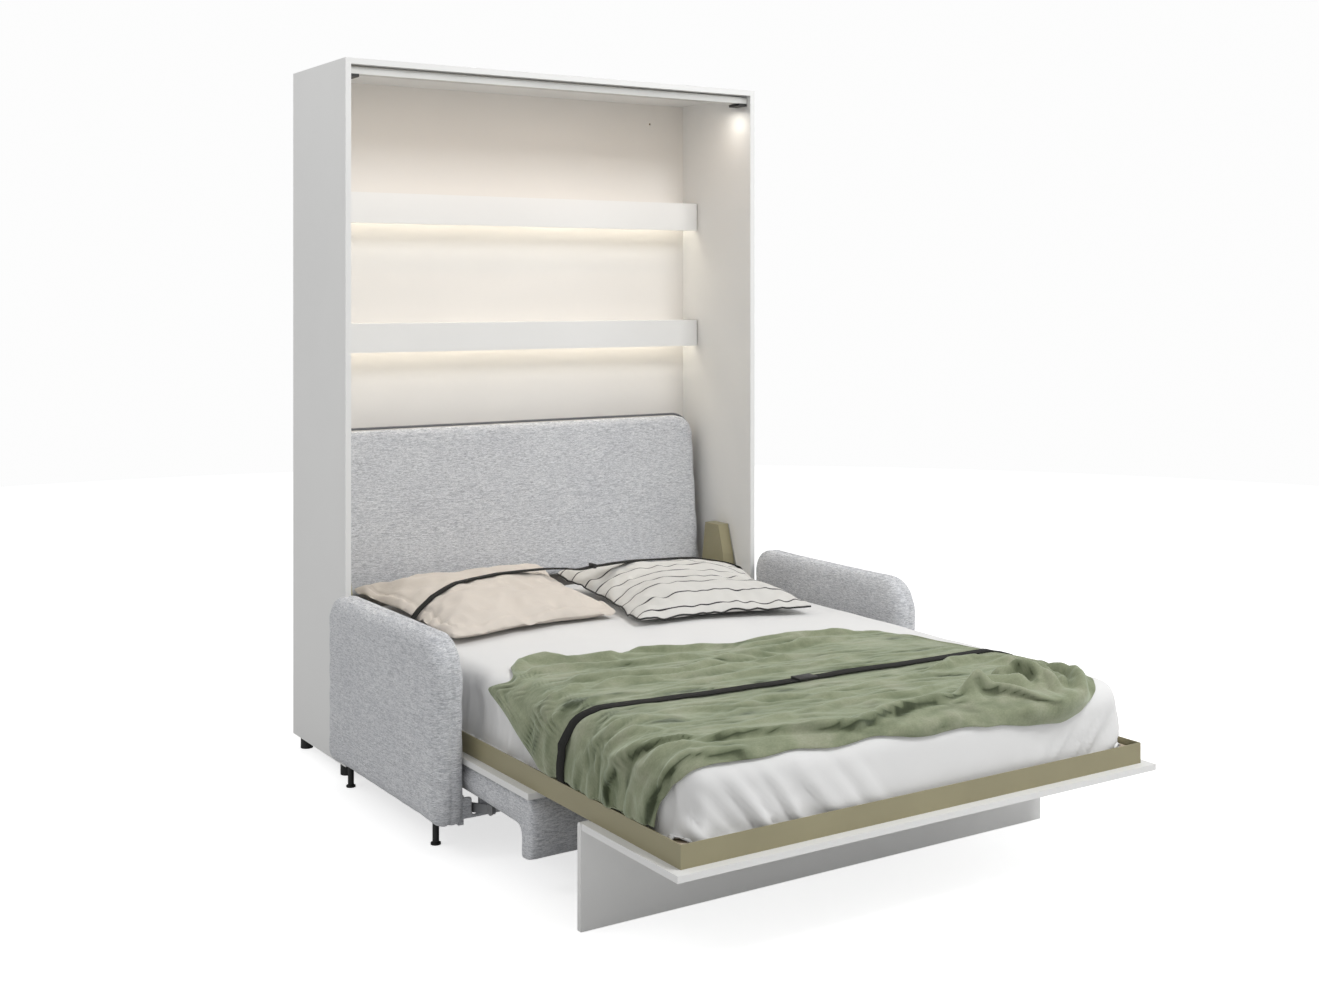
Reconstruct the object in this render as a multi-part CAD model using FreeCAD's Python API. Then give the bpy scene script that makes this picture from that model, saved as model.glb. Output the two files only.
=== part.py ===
import FreeCAD, Part
import os
import math

# Wall bed with a sofa underneath, stored open. Millimetres, +Z up.
# Lengths below are counted from the middle of the cabinet (x), from the
# cabinet's front plane (y, plus is towards the wall) and from the floor (z).
# save() then moves every piece so that the row's origin is the middle of the
# footprint.

# cabinet
cabinet_half_width = 765.0
cabinet_depth = 450.0
cabinet_height = 2190.0
board = 18.0
cabinet_bottom = 42.0
inner_half_width = cabinet_half_width - board
back_front = 430.0
back_thickness = 4.0
feet_radius = 20.0

# bed
pivot_y = 66.0
pivot_z = 303.0
pivot_pin_radius = 8.0
running_gap = 0.05
panel_half_width = 745.0
panel_bottom = 237.0
panel_top = 253.0
frame_half_width = 719.0
frame_wall = 3.0
frame_flange = 30.0
frame_top = 306.0
frame_foot = -1763.0
frame_head = 262.0
mattress_half_width = 695.0
mattress_foot = -1745.0
mattress_head = 250.0
mattress_bottom = 292.0
mattress_top = 468.0

# folding leg panel
leg_y = -1377.0
leg_pivot_z = 244.5
leg_thickness = 16.0
leg_pin_x = 600.0
leg_pin_radius = 2.5

# gas struts
strut_x = 733.0
strut_top_y = 165.0
strut_top_z = 600.0
strut_foot_y = 240.0
strut_foot_z = 280.0
strut_radius = 10.5
rod_radius = 4.5
rod_gap = 0.1

# sofa
arm_inner = 750.0
arm_outer = 830.0
arm_front = -800.0
arm_rear = -5.0
arm_bottom = 70.0
arm_top = 585.0
seat_half_width = 740.0
seat_front = -1130.0
seat_rear = -470.0
link_length = 250.0
link_rest_angle = 78.0
link_base_z = 85.0
front_link_y = -620.0
rear_link_y = -250.0

row_shift = 0.5 * (1791.0 - cabinet_depth)
os.makedirs("parts", exist_ok=True)


def block(x0, x1, y0, y1, z0, z1):
    corner = FreeCAD.Vector(min(x0, x1), y0, z0)
    return Part.makeBox(abs(x1 - x0), y1 - y0, z1 - z0, corner)


def bar_x(x0, x1, y, z, radius):
    start = FreeCAD.Vector(min(x0, x1), y, z)
    return Part.makeCylinder(radius, abs(x1 - x0), start, FreeCAD.Vector(1, 0, 0))


def bar_y(x, y0, y1, z, radius):
    return Part.makeCylinder(radius, y1 - y0, FreeCAD.Vector(x, y0, z), FreeCAD.Vector(0, 1, 0))


def bar_z(x, y, z0, z1, radius):
    return Part.makeCylinder(radius, z1 - z0, FreeCAD.Vector(x, y, z0), FreeCAD.Vector(0, 0, 1))


def side_outline(points, x0, x1):
    corners = [FreeCAD.Vector(min(x0, x1), y, z) for y, z in points]
    face = Part.Face(Part.makePolygon(corners + [corners[0]]))
    return face.extrude(FreeCAD.Vector(abs(x1 - x0), 0, 0))


def front_outline(points, y0, y1):
    corners = [FreeCAD.Vector(x, y0, z) for x, z in points]
    face = Part.Face(Part.makePolygon(corners + [corners[0]]))
    return face.extrude(FreeCAD.Vector(0, y1 - y0, 0))


def runs_along(edge, axis):
    start = edge.Vertexes[0].Point
    end = edge.Vertexes[-1].Point
    along = end.sub(start)
    if along.Length < 1e-6:
        return False
    return abs(along.normalize().dot(axis)) > 0.999


def edges_along(shape, axis, keep):
    return [edge for edge in shape.Edges if runs_along(edge, axis) and keep(edge.CenterOfMass)]


def edges_on_side(shape, x):
    return [
        edge
        for edge in shape.Edges
        if all(abs(vertex.X - x) < 0.01 for vertex in edge.Vertexes)
    ]


def save(name, shape):
    moved = shape.copy()
    moved.translate(FreeCAD.Vector(0, row_shift, 0))
    moved.exportStep("parts/" + name + ".step")
    print(name, len(moved.Solids), "solid(s)")


along_x = FreeCAD.Vector(1, 0, 0)
along_y = FreeCAD.Vector(0, 1, 0)
along_z = FreeCAD.Vector(0, 0, 1)
sides = {"left": -1.0, "right": 1.0}


# ---- cabinet carcass ----

for side, sign in sides.items():
    panel = block(
        sign * inner_half_width,
        sign * cabinet_half_width,
        0,
        cabinet_depth,
        cabinet_bottom,
        cabinet_height - board,
    )
    save("side_panel_" + side, panel)

top_panel = block(
    -cabinet_half_width,
    cabinet_half_width,
    0,
    cabinet_depth,
    cabinet_height - board,
    cabinet_height,
)
save("top_panel", top_panel)

bottom_panel = block(
    -inner_half_width,
    inner_half_width,
    20,
    back_front,
    cabinet_bottom,
    cabinet_bottom + board,
)
save("bottom_panel", bottom_panel)

wall_bolt_x = 600.0
wall_bolt_radius = 4.0
upper_batten_z = 2050.0
lower_batten_z = 100.0
batten_height = 100.0
wall_bolt_rows = [lower_batten_z + 50.0, upper_batten_z + 50.0]

back_panel = block(
    -inner_half_width,
    inner_half_width,
    back_front,
    back_front + back_thickness,
    cabinet_bottom,
    cabinet_height - board,
)
for row_z in wall_bolt_rows:
    for sign in sides.values():
        hole = bar_y(sign * wall_bolt_x, back_front - 1, cabinet_depth + 1, row_z, wall_bolt_radius)
        back_panel = back_panel.cut(hole)
save("back_panel", back_panel)

for name, low_z in (("wall_batten_lower", lower_batten_z), ("wall_batten_upper", upper_batten_z)):
    batten = block(
        -inner_half_width,
        inner_half_width,
        back_front + back_thickness,
        cabinet_depth,
        low_z,
        low_z + batten_height,
    )
    for sign in sides.values():
        hole = bar_y(
            sign * wall_bolt_x,
            back_front - 1,
            cabinet_depth + 1,
            low_z + 50.0,
            wall_bolt_radius,
        )
        batten = batten.cut(hole)
    save(name, batten)

foot_places = [(x, y) for x in (-733.0, 733.0) for y in (68.0, 411.0)]
cabinet_feet = Part.makeCompound([bar_z(x, y, 0, cabinet_bottom, feet_radius) for x, y in foot_places])
save("cabinet_feet", cabinet_feet)


# ---- lit valance shelves, top rail and corner lamps ----

shelf_front = 330.0
shelf_half_width = 742.0
for level, low_z, high_z in (("upper", 1705.0, 1805.0), ("lower", 1280.0, 1375.0)):
    fascia = block(
        -shelf_half_width,
        shelf_half_width,
        shelf_front,
        shelf_front + board,
        low_z,
        high_z,
    )
    save("shelf_" + level + "_fascia", fascia)
    shelf = block(
        -shelf_half_width,
        shelf_half_width,
        shelf_front + board,
        back_front,
        high_z - board,
        high_z,
    )
    save("shelf_" + level + "_board", shelf)
    strip = block(-725, 725, 392, 412, high_z - board - 10, high_z - board)
    save("led_strip_" + level, strip)

top_rail = block(-inner_half_width, inner_half_width, 22, 60, 2145, 2166)
save("top_rail", top_rail)

for side, sign in sides.items():
    lamp = block(sign * 712, sign * inner_half_width, 20, 84, 2136, 2145)
    lamp = lamp.makeFillet(3, edges_along(lamp, along_z, lambda point: True))
    save("corner_lamp_" + side, lamp)


# ---- leaning headboard ----

headboard_half_width = 725.0
headboard_thickness = 38.0
headboard_length = 545.0
headboard_lean = math.degrees(math.atan2(50.0, 543.0))
headboard_foot = FreeCAD.Vector(0, 272, 492)


def lean(shape):
    leaning = shape.copy()
    leaning.rotate(FreeCAD.Vector(0, 0, 0), along_x, -headboard_lean)
    leaning.translate(headboard_foot)
    return leaning


headboard = block(
    -headboard_half_width,
    headboard_half_width,
    0,
    headboard_thickness,
    0,
    headboard_length,
)
headboard = headboard.makeFillet(80, edges_along(headboard, along_y, lambda point: point.z > 500))
front_edges = [
    edge for edge in headboard.Edges if all(vertex.Y < 0.01 for vertex in edge.Vertexes)
]
headboard = headboard.makeFillet(10, front_edges)
save("headboard_panel", lean(headboard))

headboard_board = block(-700, 700, headboard_thickness + 0.3, headboard_thickness + board, 20, 450)
save("headboard_board", lean(headboard_board))

bracket_room = block(-1000, 1000, 0, back_front, 0, 2000)
brackets = []
for sign in sides.values():
    bracket = lean(block(sign * 520, sign * 560, headboard_thickness + board, 180, 160, 200))
    brackets.append(bracket.common(bracket_room).Solids[0])
save("headboard_brackets", Part.makeCompound(brackets))


# ---- fold mechanism: wall plates with pivot pins, housings, gas struts ----

plate_inner = 744.0
housing_inner = 701.0
housing_wall = 2.5
housing_bottom = 340.0
housing_points = [(80, housing_bottom), (262, housing_bottom), (215, 645), (133, 645), (103, 544)]
hollow_points = [(82.5, 330), (259.4, 330), (212.4, 642.5), (134.9, 642.5), (105.6, 543.5)]
plate_points = [(32, 262), (120, 262), (262, 338), (215, 645), (133, 645), (32, 340)]

for side, sign in sides.items():
    plate = side_outline(plate_points, sign * plate_inner, sign * inner_half_width)
    pin = bar_x(sign * 709, sign * plate_inner, pivot_y, pivot_z, pivot_pin_radius)
    stud = bar_x(sign * 724, sign * plate_inner, strut_top_y, strut_top_z, 5)
    save("pivot_plate_" + side, plate.fuse([pin, stud]))

    shell = side_outline(housing_points, sign * housing_inner, sign * plate_inner)
    hollow = side_outline(hollow_points, sign * (housing_inner + housing_wall), sign * (plate_inner + 1))
    shell = shell.cut(hollow)
    save("strut_housing_" + side, shell)

strut_top = FreeCAD.Vector(0, strut_top_y, strut_top_z)
strut_foot = FreeCAD.Vector(0, strut_foot_y, strut_foot_z)
strut_line = strut_foot.sub(strut_top)
strut_open_length = strut_line.Length
strut_direction = FreeCAD.Vector(strut_line).normalize()
strut_body_end = 284.0
rod_start = 110.0


def strut_point(sign, distance):
    point = strut_top.add(FreeCAD.Vector(strut_direction).multiply(distance))
    point.x = sign * strut_x
    return point


def strut_bar(sign, start, end, radius):
    return Part.makeCylinder(radius, end - start, strut_point(sign, start), strut_direction)


for side, sign in sides.items():
    body = strut_bar(sign, 14, strut_body_end, strut_radius)
    eye = bar_x(sign * 727, sign * 739, strut_top_y, strut_top_z, 11)
    neck = strut_bar(sign, 4, 16, 6)
    body = body.fuse([eye, neck])
    body = body.cut(bar_x(sign * 720, sign * 745, strut_top_y, strut_top_z, 5 + running_gap))
    body = body.cut(strut_bar(sign, rod_start - 20, strut_body_end + 1, rod_radius + rod_gap))
    save("strut_cylinder_" + side, body)

    rod = strut_bar(sign, rod_start, strut_open_length - 5, rod_radius)
    rod_eye = bar_x(sign * 726, sign * 740, strut_foot_y, strut_foot_z, 9)
    rod = rod.fuse(rod_eye)
    rod = rod.cut(bar_x(sign * 720, sign * 745, strut_foot_y, strut_foot_z, 5))
    save("strut_rod_" + side, rod)


# ---- bed frame ----

frame_inner = frame_half_width - frame_wall
flange_inner = frame_inner - frame_flange
flange_top = panel_top + frame_wall

for side, sign in sides.items():
    wall = block(
        sign * frame_inner,
        sign * frame_half_width,
        frame_foot,
        frame_head,
        panel_top,
        frame_top,
    )
    flange = block(
        sign * flange_inner,
        sign * frame_inner,
        frame_foot,
        frame_head,
        panel_top,
        flange_top,
    )
    lug = bar_x(sign * 711, sign * frame_half_width, pivot_y, pivot_z, 24)
    stud = bar_x(sign * frame_half_width, sign * 724, strut_foot_y, strut_foot_z, 6)
    rail = wall.fuse([flange, lug, stud])
    pin_hole = bar_x(sign * 700, sign * 725, pivot_y, pivot_z, pivot_pin_radius + running_gap)
    save("frame_side_" + side, rail.cut(pin_hole))

foot_rail = block(
    -frame_inner,
    frame_inner,
    frame_foot,
    frame_foot + frame_wall,
    flange_top,
    frame_top,
)
foot_flange = block(
    -flange_inner,
    flange_inner,
    frame_foot,
    frame_foot + frame_flange,
    panel_top,
    flange_top,
)
save("frame_foot_rail", foot_rail.fuse(foot_flange))

head_rail = block(
    -frame_inner,
    frame_inner,
    frame_head - frame_wall,
    frame_head,
    flange_top,
    frame_top,
)
head_flange = block(
    -flange_inner,
    flange_inner,
    frame_head - frame_flange,
    frame_head,
    panel_top,
    flange_top,
)
save("frame_head_rail", head_rail.fuse(head_flange))

cross_top = 281.0
cross_width = 30.0
cross_places = [-1690.0, leg_y, -930.0, -470.0, 170.0]
cross_members = [
    block(-705, 705, y - 0.5 * cross_width, y + 0.5 * cross_width, flange_top, cross_top)
    for y in cross_places
]
save("cross_members", Part.makeCompound(cross_members))

for side, sign in sides.items():
    upright = block(sign * 705, sign * 710.5, -1740, 20, flange_top, 283)
    ledge = block(sign * 686, sign * 705, -1740, 20, cross_top, 283)
    save("slat_holder_" + side, upright.fuse(ledge))

slat_count = 14
slat_pitch = 128.0
slat_width = 70.0
slats = []
for index in range(slat_count):
    y = -1725.0 + slat_pitch * index
    slats.append(block(-709, 709, y, y + slat_width, 283, 291))
save("slats", Part.makeCompound(slats))


# ---- panels under the bed, which close the cabinet when it is folded up ----

lower_panel = block(-panel_half_width, panel_half_width, -1129, -50, panel_bottom, panel_top)
lower_panel = lower_panel.makeFillet(
    1.0, edges_along(lower_panel, along_x, lambda point: point.z < panel_bottom + 1)
)
save("front_panel_lower", lower_panel)

upper_panel = block(-panel_half_width, panel_half_width, -1791, -1388, panel_bottom, panel_top)
upper_panel = upper_panel.makeFillet(
    1.0, edges_along(upper_panel, along_x, lambda point: point.z < panel_bottom + 1)
)
save("front_panel_upper", upper_panel)

leg_half = 0.5 * leg_thickness
leg_panel = block(
    -panel_half_width,
    panel_half_width,
    leg_y - leg_half,
    leg_y + leg_half,
    0,
    leg_pivot_z,
)
leg_panel = leg_panel.fuse(bar_x(-panel_half_width, panel_half_width, leg_y, leg_pivot_z, leg_half))
leg_panel = leg_panel.removeSplitter()
leg_pins = []
brackets = []
for sign in sides.values():
    notch = block(
        sign * (leg_pin_x - 6),
        sign * (leg_pin_x + 6),
        leg_y - 10,
        leg_y + 10,
        leg_pivot_z - 12,
        leg_pivot_z + 12,
    )
    leg_panel = leg_panel.cut(notch)
    pin = bar_x(sign * (leg_pin_x - 16), sign * (leg_pin_x + 16), leg_y, leg_pivot_z, leg_pin_radius)
    leg_panel = leg_panel.cut(pin)
    leg_pins.append(pin)
    bracket = block(
        sign * (leg_pin_x - 1.5),
        sign * (leg_pin_x + 1.5),
        leg_y - 7,
        leg_y + 7,
        leg_pivot_z - 7,
        flange_top,
    )
    hole = bar_x(
        sign * (leg_pin_x - 5),
        sign * (leg_pin_x + 5),
        leg_y,
        leg_pivot_z,
        leg_pin_radius + running_gap,
    )
    brackets.append(bracket.cut(hole))
save("leg_panel", leg_panel)
save("leg_pins", Part.makeCompound(leg_pins))
save("leg_hinge_brackets", Part.makeCompound(brackets))


# ---- mattress, bedding and the straps that hold it ----

mattress = block(
    -mattress_half_width,
    mattress_half_width,
    mattress_foot,
    mattress_head,
    mattress_bottom,
    mattress_top,
)
mattress = mattress.makeFillet(40, edges_along(mattress, along_z, lambda point: True))
mattress = mattress.makeFillet(
    25, [edge for edge in mattress.Edges if edge.BoundBox.ZMin > mattress_top - 0.1]
)
save("mattress", mattress)

pillow_low = mattress_top + 0.5
pillow_high = 575.0
for name, middle_x, middle_y, half_x, half_y, turn in (
    ("pillow_left", -327.0, -130.0, 297.0, 325.0, 0.0),
    ("pillow_right", 322.0, -290.0, 290.0, 290.0, -12.0),
):
    pillow = block(-half_x, half_x, -half_y, half_y, pillow_low, pillow_high)
    pillow = pillow.makeFillet(60, edges_along(pillow, along_z, lambda point: True))
    level_edges = [edge for edge in pillow.Edges if edge.BoundBox.ZLength < 0.1]
    pillow = pillow.makeFillet(45, level_edges)
    pillow.rotate(FreeCAD.Vector(0, 0, 0), along_z, turn)
    pillow.translate(FreeCAD.Vector(middle_x, middle_y, 0))
    save(name, pillow)

throw_outer = 711.0
throw_cloth = 12.0
throw = block(-throw_outer, throw_outer, -1700, -720, 318, mattress_top + 1 + throw_cloth)
throw = throw.cut(
    block(
        -throw_outer + throw_cloth,
        throw_outer - throw_cloth,
        -1701,
        -719,
        317,
        mattress_top + 1,
    )
)
throw = throw.makeFillet(10, edges_along(throw, along_y, lambda point: point.z > mattress_top + 5))
save("throw", throw)

strap_width = 35.0
strap_cloth = 2.4
strap_foot_middle = -1265.0
strap_over = mattress_top + throw_cloth + 1.5
strap_foot = block(
    -throw_outer - 0.6 - strap_cloth,
    throw_outer + 0.6 + strap_cloth,
    strap_foot_middle - 0.5 * strap_width,
    strap_foot_middle + 0.5 * strap_width,
    296,
    strap_over + strap_cloth,
)
strap_foot = strap_foot.cut(
    block(
        -throw_outer - 0.6,
        throw_outer + 0.6,
        strap_foot_middle - strap_width,
        strap_foot_middle + strap_width,
        295,
        strap_over,
    )
)
save("strap_foot", strap_foot)

strap_head_middle = -110.0
strap_side = mattress_half_width + 2.0
strap_outer_line = [
    (-strap_side - strap_cloth, 296),
    (-strap_side - strap_cloth, 480),
    (-640, pillow_high + 3.4),
    (672, pillow_high + 3.4),
    (strap_side + strap_cloth, 480),
    (strap_side + strap_cloth, 296),
]
strap_inner_line = [
    (strap_side, 296),
    (strap_side, 478),
    (670, pillow_high + 1),
    (-638, pillow_high + 1),
    (-strap_side, 478),
    (-strap_side, 296),
]
strap_head = front_outline(
    strap_outer_line + strap_inner_line,
    strap_head_middle - 0.5 * strap_width,
    strap_head_middle + 0.5 * strap_width,
)
save("strap_head", strap_head)


# ---- sofa: backrest, arms, fixed base ----

backrest = block(-735, 735, -380, -61, 152, panel_bottom - 0.3)
backrest = backrest.makeFillet(
    25, [edge for edge in backrest.Edges if edge.BoundBox.ZMax < 152.1]
)
save("sofa_backrest", backrest)

for side, sign in sides.items():
    arm = block(sign * arm_inner, sign * arm_outer, arm_front, arm_rear, arm_bottom, arm_top)
    for radius, front, top in ((110, True, True), (80, False, True), (40, True, False), (40, False, False)):
        corner = edges_along(
            arm,
            along_x,
            lambda point: (point.y < -400) == front and (point.z > 300) == top,
        )
        arm = arm.makeFillet(radius, corner[:1])
    arm = arm.makeFillet(32, edges_on_side(arm, sign * arm_outer))
    arm = arm.makeFillet(10, edges_on_side(arm, sign * arm_inner))
    save("arm_" + side, arm)

arm_feet = []
for x in (-772.0, 772.0):
    for y in (-656.0, -60.0):
        leg = bar_z(x, y, 0, arm_bottom, 9)
        arm_feet.append(leg.fuse(bar_z(x, y, 0, 5, 14)))
save("arm_feet", Part.makeCompound(arm_feet))

for side, sign in sides.items():
    base_side = block(sign * 735, sign * arm_inner, -750, 0, 71, 148)
    for y in (front_link_y, rear_link_y):
        base_side = base_side.cut(bar_x(sign * 730, sign * 755, y, link_base_z, 10 + running_gap))
    save("base_side_" + side, base_side)

base_front = block(-arm_inner, arm_inner, -770, -750, 90, 148)
for sign in sides.values():
    base_front = base_front.cut(block(sign * 698, sign * 718, -771, -749, 97, 149))
save("base_front_rail", base_front)

base_rear = block(-735, 735, -40, -20, 71, 148)
save("base_rear_rail", base_rear)


# ---- sofa seat and the links that carry it ----

seat_line = [
    (seat_front, 77),
    (seat_front + 70, 77),
    (seat_front + 70, 165),
    (seat_rear, 165),
    (seat_rear, 235),
    (seat_front, 235),
]
seat = side_outline(seat_line, -seat_half_width, seat_half_width)
seat = seat.makeFillet(
    22,
    edges_along(
        seat,
        along_x,
        lambda point: point.y < seat_front + 1 or (point.y > seat_rear - 1 and point.z > 200),
    ),
)
save("seat_cushion", seat)

seat_board = block(-735, 735, seat_front + 71, seat_rear - 5, 150, 164.7)
save("seat_board", seat_board)

link_turn = math.radians(link_rest_angle)
link_reach = link_length * math.sin(link_turn)
link_rise = link_length * math.cos(link_turn)
link_tip_z = link_base_z + link_rise
pin_radius = 5.0

lugs = []
for sign in sides.values():
    for base_y in (front_link_y, rear_link_y):
        tip_y = base_y - link_reach
        lug = block(sign * 713, sign * 717, tip_y - 14, tip_y + 14, 136, 150)
        lug = lug.fuse(bar_x(sign * 713, sign * 717, tip_y, link_tip_z, 14))
        lug = lug.common(block(-1000, 1000, -2000, 0, 100, 150))
        lug = lug.fuse(bar_x(sign * 702, sign * 713, tip_y, link_tip_z, pin_radius))
        lugs.append(lug.removeSplitter())
save("seat_lugs", Part.makeCompound(lugs))


def link(sign, base_y, tip_hole_radius):
    tip_y = base_y - link_reach
    half = 12.0
    reach = FreeCAD.Vector(0, -link_reach, link_rise).normalize()
    across = FreeCAD.Vector(0, reach.z, -reach.y).multiply(half)
    base = FreeCAD.Vector(0, base_y, link_base_z)
    tip = FreeCAD.Vector(0, tip_y, link_tip_z)
    corners = [base.add(across), tip.add(across), tip.sub(across), base.sub(across)]
    flat = side_outline([(point.y, point.z) for point in corners], sign * 704, sign * 712)
    ends = [
        bar_x(sign * 704, sign * 712, base_y, link_base_z, half),
        bar_x(sign * 704, sign * 712, tip_y, link_tip_z, half),
        bar_x(sign * 704, sign * arm_inner, base_y, link_base_z, 10),
    ]
    bar = flat.fuse(ends).removeSplitter()
    return bar.cut(bar_x(sign * 700, sign * 714, tip_y, link_tip_z, tip_hole_radius))


front_links = [link(sign, front_link_y, pin_radius + running_gap) for sign in sides.values()]
save("front_links", Part.makeCompound(front_links))

rear_links = [link(sign, rear_link_y, pin_radius + 1.0) for sign in sides.values()]
save("rear_links", Part.makeCompound(rear_links))
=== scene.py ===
import math
import time

import bmesh
import bpy
import numpy as np
from mathutils import Matrix, Vector, noise
from mathutils.bvhtree import BVHTree


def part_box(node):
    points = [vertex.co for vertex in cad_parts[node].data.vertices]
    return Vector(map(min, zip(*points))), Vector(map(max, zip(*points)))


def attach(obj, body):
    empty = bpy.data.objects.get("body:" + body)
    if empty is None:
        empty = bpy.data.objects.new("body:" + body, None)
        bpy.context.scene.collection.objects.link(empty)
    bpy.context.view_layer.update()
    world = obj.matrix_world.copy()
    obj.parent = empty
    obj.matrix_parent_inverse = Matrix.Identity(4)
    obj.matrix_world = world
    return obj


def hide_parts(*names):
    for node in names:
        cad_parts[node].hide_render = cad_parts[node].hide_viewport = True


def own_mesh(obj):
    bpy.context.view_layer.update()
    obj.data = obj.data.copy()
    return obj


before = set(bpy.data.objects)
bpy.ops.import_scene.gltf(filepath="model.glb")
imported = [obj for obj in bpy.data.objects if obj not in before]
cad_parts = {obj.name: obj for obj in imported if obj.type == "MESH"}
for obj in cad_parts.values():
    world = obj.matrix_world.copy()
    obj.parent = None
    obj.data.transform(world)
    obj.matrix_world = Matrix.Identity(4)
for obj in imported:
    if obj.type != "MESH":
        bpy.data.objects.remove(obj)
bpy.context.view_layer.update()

started = time.time()
scene = bpy.context.scene
scene.view_settings.view_transform = "Standard"
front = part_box("side_panel_left")[0].y   # the cabinet's front plane
print("frame loaded, cabinet front at", round(front, 4))


eye = {"place": (-2.614, -3.9465, 1.482), "turn": 0.573, "lens": 44.06, "shift": -0.1546}

cameraData = bpy.data.cameras.new("viewCamera")
cameraData.lens = eye["lens"]
cameraData.sensor_width = 36
cameraData.shift_y = eye["shift"]
camera = bpy.data.objects.new("viewCamera", cameraData)
camera.location = eye["place"]
camera.rotation_euler = (math.pi / 2, 0, -eye["turn"])
scene.collection.objects.link(camera)
scene.camera = camera


def gridBlock(low, high, step):
    low, high = Vector(low), Vector(high)
    size = high - low
    bm = bmesh.new()
    bmesh.ops.create_cube(bm, size=1.0)
    for axis in range(3):
        cuts = max(1, round(size[axis] / step[axis])) - 1
        along = [e for e in bm.edges if abs((e.verts[0].co - e.verts[1].co)[axis]) > 1e-4]
        if cuts > 0:
            bmesh.ops.subdivide_edges(bm, edges=along, cuts=cuts, use_grid_fill=True)
    bmesh.ops.scale(bm, vec=size, verts=bm.verts)
    bmesh.ops.translate(bm, vec=(low + high) / 2, verts=bm.verts)
    return bm


def pointsOf(thing):
    verts = thing.verts if isinstance(thing, bmesh.types.BMesh) else thing.vertices
    return np.array([v.co for v in verts], float)


def putPoints(thing, points):
    verts = thing.verts if isinstance(thing, bmesh.types.BMesh) else thing.vertices
    for v, p in zip(verts, points):
        v.co = p


def roundOff(points, low, high, radius):
    # moves points on a box onto the same box with round edges
    low, high = np.array(low, float), np.array(high, float)
    inner = np.clip(points, low + radius, high - radius)
    away = points - inner
    length = np.linalg.norm(away, axis=1, keepdims=True)
    return np.where(length > 1e-9, inner + away / np.maximum(length, 1e-9) * radius, points)


def wave(points, scale, seed, stretch=(1, 1, 1)):
    k = np.array(stretch) * scale
    return np.array([noise.noise(Vector(p * k) + Vector((seed * 7.3, seed * 3.1, seed))) for p in points])


def newPiece(name, bm, body, material, smooth=40):
    mesh = bpy.data.meshes.new(name)
    bm.to_mesh(mesh)
    bm.free()
    piece = bpy.data.objects.new(name, mesh)
    scene.collection.objects.link(piece)
    return dressPiece(piece, body, material, smooth)


def dressPiece(piece, body, material, smooth=40):
    mesh = piece.data
    mesh.materials.clear()
    mesh.materials.append(material)
    for p in mesh.polygons:
        p.use_smooth = True
    mesh.set_sharp_from_angle(angle=math.radians(smooth))
    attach(piece, body)
    return piece


def chosen(piece):
    bpy.ops.object.select_all(action="DESELECT")
    piece.select_set(True)
    bpy.context.view_layer.objects.active = piece


def tube(name, path, radius, closed=False, sides=8):
    curve = bpy.data.curves.new(name, "CURVE")
    curve.dimensions = "3D"
    curve.bevel_depth = radius
    curve.bevel_resolution = max(1, sides // 4)
    spline = curve.splines.new("POLY")
    spline.points.add(len(path) - 1)
    for point, place in zip(spline.points, path):
        point.co = (*place, 1)
    spline.use_cyclic_u = closed
    curve.use_fill_caps = not closed
    holder = bpy.data.objects.new(name + "Line", curve)
    scene.collection.objects.link(holder)
    bpy.context.view_layer.update()
    mesh = bpy.data.meshes.new_from_object(holder.evaluated_get(bpy.context.evaluated_depsgraph_get()))
    bpy.data.objects.remove(holder)
    mesh.name = name
    piece = bpy.data.objects.new(name, mesh)
    scene.collection.objects.link(piece)
    return piece


def inflate(piece, settings):
    start = pointsOf(piece.data)
    chosen(piece)
    cloth = piece.modifiers.new("cloth", "CLOTH")
    cloth.settings.quality = settings.get("quality", 6)
    cloth.settings.mass = settings.get("mass", 0.3)
    cloth.settings.tension_stiffness = settings.get("tension", 15)
    cloth.settings.compression_stiffness = settings.get("tension", 15)
    cloth.settings.shear_stiffness = settings.get("shear", 5)
    cloth.settings.bending_stiffness = settings.get("bending", 0.5)
    cloth.settings.use_pressure = True
    cloth.settings.uniform_pressure_force = settings["pressure"]
    cloth.settings.effector_weights.gravity = 0
    if "shrink" in settings:
        cloth.settings.shrink_min = settings["shrink"]
    cloth.collision_settings.use_collision = False
    cloth.point_cache.frame_end = settings["frames"]
    for number in range(1, settings["frames"] + 1):
        scene.frame_set(number)
    bpy.ops.object.modifier_apply(modifier="cloth")
    scene.frame_set(1)
    move = pointsOf(piece.data) - start
    length = np.linalg.norm(move, axis=1, keepdims=True)
    move *= np.minimum(1, settings["cap"] / np.maximum(length, 1e-9))
    putPoints(piece.data, start + move)


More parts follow.
